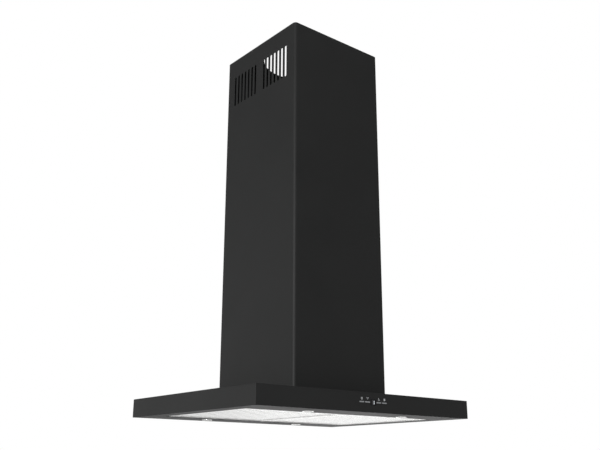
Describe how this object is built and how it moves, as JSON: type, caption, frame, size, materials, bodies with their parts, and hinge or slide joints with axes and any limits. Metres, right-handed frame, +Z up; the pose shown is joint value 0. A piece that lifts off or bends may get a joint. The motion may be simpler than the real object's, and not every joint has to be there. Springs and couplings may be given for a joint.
{
  "type": "island range hood",
  "caption": "Ceiling-hung island range hood: flat canopy with hinged baffle filters, lamps and push-button controls under a tall square chimney cover.",
  "frame": {"origin": "centre of the ceiling plane that the ceiling bracket bolts to", "axes": "+Z up to the ceiling, +X to the right of someone who faces the controls, -Y out of the control face"},
  "size_m": [0.9, 0.7009, 1.3593],
  "materials": {
    "black_paint": "satin black powder coat on sheet steel",
    "stainless_steel": "brushed stainless steel",
    "zinc_steel": "galvanised sheet steel",
    "bright_metal": "satin nickel plate",
    "frosted_lens": "frosted lamp lens",
    "dark_plastic": "moulded black plastic",
    "grey_plastic": "moulded grey plastic",
    "pale_button": "pale grey moulded buttons",
    "display_black": "gloss black display window",
    "board_green": "green circuit board"
  },
  "bodies": {
    "hood": {"blower_box": "zinc_steel", "bottom_panel": "black_paint", "cable_gland": "dark_plastic", "canopy_shell": "black_paint", "ceiling_bracket": "black_paint", "chimney_cover": "black_paint", "chimney_rear_panel": "black_paint", "control_board": "board_green", "control_cable": "dark_plastic", "control_housing": "dark_plastic", "display": "display_black", "exhaust_collar": "dark_plastic", "filter_crossbar": "stainless_steel", "flap_axle": "bright_metal", "frame_tie": "zinc_steel", "lamp_driver": "dark_plastic", "lamp_housing_front_left": "bright_metal", "lamp_housing_front_right": "bright_metal", "lamp_housing_rear_left": "bright_metal", "lamp_housing_rear_right": "bright_metal", "lamp_lens_front_left": "frosted_lens", "lamp_lens_front_right": "frosted_lens", "lamp_lens_rear_left": "frosted_lens", "lamp_lens_rear_right": "frosted_lens", "lower_post_front_left": "zinc_steel", "lower_post_front_right": "zinc_steel", "lower_post_rear_left": "zinc_steel", "lower_post_rear_right": "zinc_steel", "motor": "zinc_steel", "motor_bracket": "zinc_steel", "post_bolt_front_left": "zinc_steel", "post_bolt_front_right": "zinc_steel", "post_bolt_rear_left": "zinc_steel", "post_bolt_rear_right": "zinc_steel", "rear_panel_screw_1": "bright_metal", "rear_panel_screw_2": "bright_metal", "rear_panel_screw_3": "bright_metal", "rear_panel_screw_4": "bright_metal", "scroll_housing": "grey_plastic", "terminal_box": "dark_plastic", "upper_post_front_left": "zinc_steel", "upper_post_front_right": "zinc_steel", "upper_post_rear_left": "zinc_steel", "upper_post_rear_right": "zinc_steel"},
    "filter_left": {"filter_left_frame": "stainless_steel", "filter_left_lower_baffles": "stainless_steel", "filter_left_upper_baffles": "stainless_steel"},
    "filter_right": {"filter_right_frame": "stainless_steel", "filter_right_lower_baffles": "stainless_steel", "filter_right_upper_baffles": "stainless_steel"},
    "latch_left": {"filter_left_latch": "bright_metal"},
    "latch_right": {"filter_right_latch": "bright_metal"},
    "rotor": {"impeller": "grey_plastic", "impeller_shaft": "bright_metal"},
    "damper_front": {"flap_front": "dark_plastic"},
    "damper_rear": {"flap_rear": "dark_plastic"},
    "power_key": {"button_power": "pale_button"},
    "slower_key": {"button_slower": "pale_button"},
    "faster_key": {"button_faster": "pale_button"},
    "lamps_key": {"button_lamps": "pale_button"}
  },
  "joints": [
    {"name": "filter_left_hinge", "type": "hinge", "parent": "hood", "child": "filter_left", "pos_m": [-0.2, 0.217, -1.3498], "axis": [1, 0, 0], "range_deg": [0, 75]},
    {"name": "latch_left_slide", "type": "slide", "parent": "filter_left", "child": "latch_left", "axis": [0, 1, 0], "range_m": [0, 0.005], "stiffness_N_per_m": 400, "springref_m": -0.006},
    {"name": "filter_right_hinge", "type": "hinge", "parent": "hood", "child": "filter_right", "pos_m": [0.2, 0.217, -1.3498], "axis": [1, 0, 0], "range_deg": [0, 75]},
    {"name": "latch_right_slide", "type": "slide", "parent": "filter_right", "child": "latch_right", "axis": [0, 1, 0], "range_m": [0, 0.005], "stiffness_N_per_m": 400, "springref_m": -0.006},
    {"name": "impeller_spin", "type": "hinge", "parent": "hood", "child": "rotor", "pos_m": [0, -0.046, -1.1745], "axis": [1, 0, 0], "continuous": true},
    {"name": "flap_front_hinge", "type": "hinge", "parent": "hood", "child": "damper_front", "pos_m": [0, 0, -0.9962], "axis": [-1, 0, 0], "range_deg": [0, 80]},
    {"name": "flap_rear_hinge", "type": "hinge", "parent": "hood", "child": "damper_rear", "pos_m": [0, 0, -0.9962], "axis": [1, 0, 0], "range_deg": [0, 80]},
    {"name": "button_power_press", "type": "slide", "parent": "hood", "child": "power_key", "axis": [0, 1, 0], "range_m": [0, 0.0008], "stiffness_N_per_m": 1500, "springref_m": -0.0004},
    {"name": "button_slower_press", "type": "slide", "parent": "hood", "child": "slower_key", "axis": [0, 1, 0], "range_m": [0, 0.0008], "stiffness_N_per_m": 1500, "springref_m": -0.0004},
    {"name": "button_faster_press", "type": "slide", "parent": "hood", "child": "faster_key", "axis": [0, 1, 0], "range_m": [0, 0.0008], "stiffness_N_per_m": 1500, "springref_m": -0.0004},
    {"name": "button_lamps_press", "type": "slide", "parent": "hood", "child": "lamps_key", "axis": [0, 1, 0], "range_m": [0, 0.0008], "stiffness_N_per_m": 1500, "springref_m": -0.0004}
  ]
}
